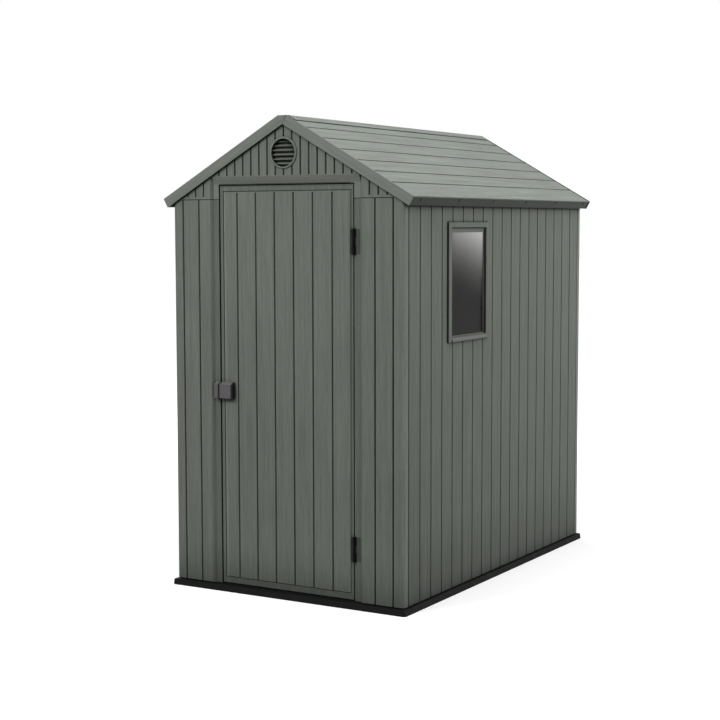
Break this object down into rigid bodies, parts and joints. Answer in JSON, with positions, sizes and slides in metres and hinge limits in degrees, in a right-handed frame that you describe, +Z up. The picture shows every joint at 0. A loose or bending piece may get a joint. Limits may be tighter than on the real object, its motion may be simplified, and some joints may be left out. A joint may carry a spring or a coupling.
{
  "type": "plastic garden shed",
  "caption": "Moulded plastic garden shed with grooved plank walls, a gabled roof, one hinged door, a side window and a round gable vent.",
  "frame": {"origin": "middle of the ground outline, at ground level", "axes": "+Z up, front with the door towards -Y, +X to the right seen from the front"},
  "size_m": [1.244, 1.86, 2.05],
  "materials": {
    "wall_plastic": "fine wood grain, matt",
    "trim_plastic": "fine wood grain, matt",
    "roof_plastic": "fine wood grain, matt",
    "sash_plastic": "smooth, matt",
    "floor_plastic": "lightly textured, matt",
    "beam_steel": "matt black paint",
    "hinge_plastic": "smooth",
    "latch_plastic": "smooth, matt",
    "window_pane": "clear plastic glazing"
  },
  "bodies": {
    "shell": {"floor_front": "floor_plastic", "floor_back": "floor_plastic", "threshold": "floor_plastic", "front_left_panel": "wall_plastic", "front_right_panel": "wall_plastic", "front_gable": "wall_plastic", "header_beam": "trim_plastic", "vent_ring": "wall_plastic", "vent_louvres": "wall_plastic", "left_wall_front": "wall_plastic", "left_wall_back": "wall_plastic", "right_wall_front": "wall_plastic", "right_wall_back": "wall_plastic", "back_left_panel": "wall_plastic", "back_right_panel": "wall_plastic", "back_gable": "wall_plastic", "window_frame": "wall_plastic", "window_sash": "sash_plastic", "window_glass": "window_pane", "window_sill": "sash_plastic", "roof_left": "roof_plastic", "roof_right": "roof_plastic", "ridge_cap": "roof_plastic", "ridge_beam": "beam_steel", "bargeboard_front_left": "trim_plastic", "bargeboard_front_right": "trim_plastic", "bargeboard_back_left": "trim_plastic", "bargeboard_back_right": "trim_plastic", "fascia_left": "trim_plastic", "fascia_right": "trim_plastic", "hinge_upper_frame": "hinge_plastic", "hinge_lower_frame": "hinge_plastic", "latch_keeper": "latch_plastic"},
    "door": {"door_leaf": "wall_plastic", "hinge_upper_leaf": "hinge_plastic", "hinge_lower_leaf": "hinge_plastic", "latch_base": "hinge_plastic", "latch_plate": "latch_plastic"}
  },
  "joints": [
    {"name": "door_hinge", "type": "hinge", "parent": "shell", "child": "door", "pos_m": [0.335, -0.9085, 0.8882], "axis": [0, 0, 1], "range_deg": [0, 110]}
  ]
}
